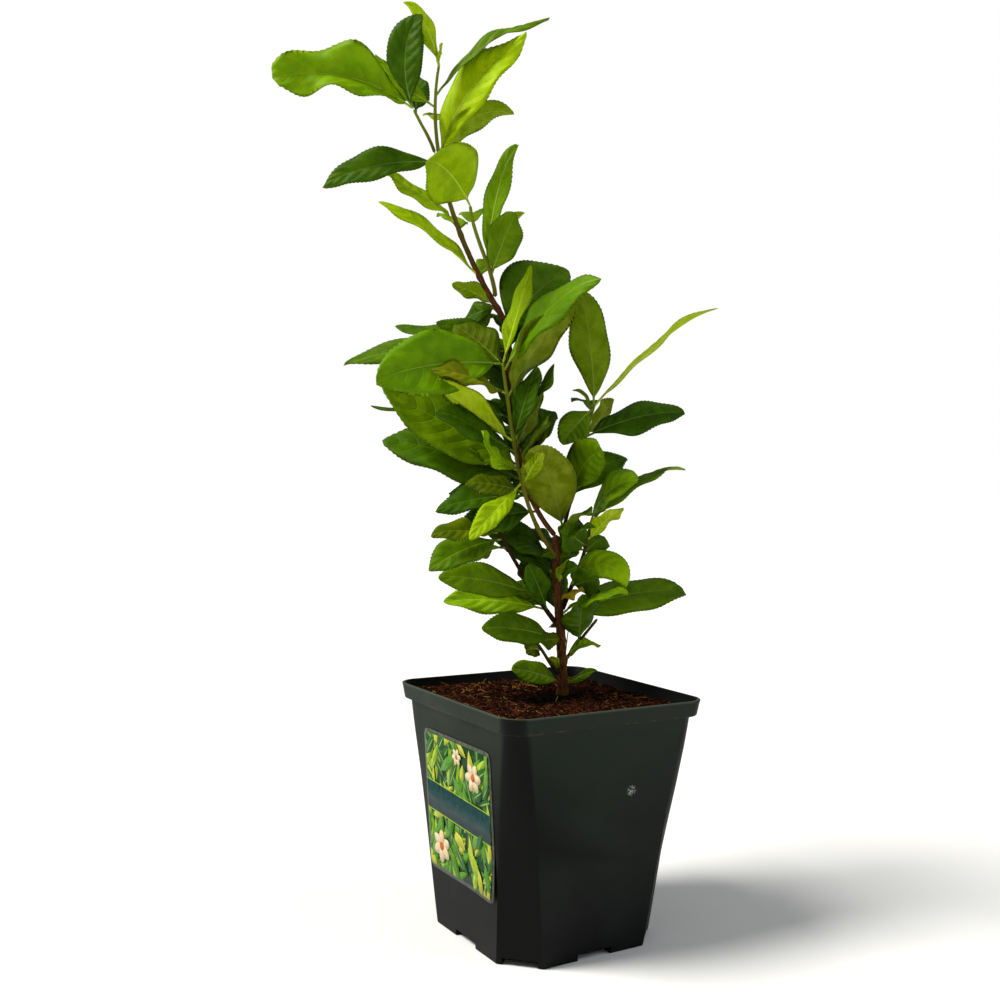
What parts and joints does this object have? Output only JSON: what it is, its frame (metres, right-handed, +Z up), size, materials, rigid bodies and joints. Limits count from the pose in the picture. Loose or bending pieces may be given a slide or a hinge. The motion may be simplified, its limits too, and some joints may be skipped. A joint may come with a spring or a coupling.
{
  "type": "potted tea bush",
  "caption": "Young tea bush in a square plastic nursery pot of compost: a slender leaning stem, side boughs and glossy serrated leaves, with a picture label on one side of the pot.",
  "frame": {"origin": "centre of the pot's flat underside", "axes": "+Z up; -X is the side of the pot that carries the label; the bush leans towards -X"},
  "size_m": [0.2885, 0.1902, 0.6388],
  "materials": {
    "pot_plastic": "moulded satin, green-black",
    "label_film": "printed film under a clear edge",
    "compost": "loose, fibrous, moist",
    "bark": "thin red-brown bark",
    "green_stem": "smooth green-brown young bark",
    "young_leaf": "soft satin, yellow-green",
    "mature_leaf": "leathery, glossy, deep green"
  },
  "bodies": {
    "root": {"pot": "pot_plastic", "compost": "compost", "label": "label_film", "trunk": "bark", "leader_lower": "bark", "leader_upper": "bark", "right_bough": "bark", "right_low_bough": "bark", "left_low_bough": "bark", "left_foot_twig": "bark", "right_foot_twig": "bark", "front_stem": "green_stem", "side_shoot": "green_stem", "top_left_twig": "green_stem", "crown_tip_foliage": "young_leaf", "top_left_foliage": "young_leaf", "upper_right_foliage": "young_leaf", "middle_left_foliage": "young_leaf", "slender_left_foliage": "young_leaf", "side_shoot_foliage": "young_leaf", "broad_front_foliage": "young_leaf", "front_left_foliage": "young_leaf", "front_lower_foliage": "young_leaf", "front_middle_foliage": "young_leaf", "right_low_foliage": "young_leaf", "hanging_right_foliage": "young_leaf", "upper_left_foliage": "mature_leaf", "leader_knee_foliage": "mature_leaf", "arching_back_foliage": "mature_leaf", "far_left_foliage": "mature_leaf", "back_foliage": "mature_leaf", "left_middle_foliage": "mature_leaf", "left_lower_foliage": "mature_leaf", "left_hem_foliage": "mature_leaf", "front_top_foliage": "mature_leaf", "broad_left_foliage": "mature_leaf", "right_front_foliage": "mature_leaf", "right_middle_foliage": "mature_leaf", "right_bough_foliage": "mature_leaf", "right_top_foliage": "mature_leaf", "low_right_foliage": "mature_leaf", "low_left_foliage": "mature_leaf", "inner_left_foliage": "mature_leaf", "foot_foliage": "mature_leaf", "right_foot_foliage": "mature_leaf", "left_foot_foliage": "mature_leaf", "left_bough_foliage": "mature_leaf", "low_left_front_foliage": "mature_leaf"}
  },
  "joints": []
}
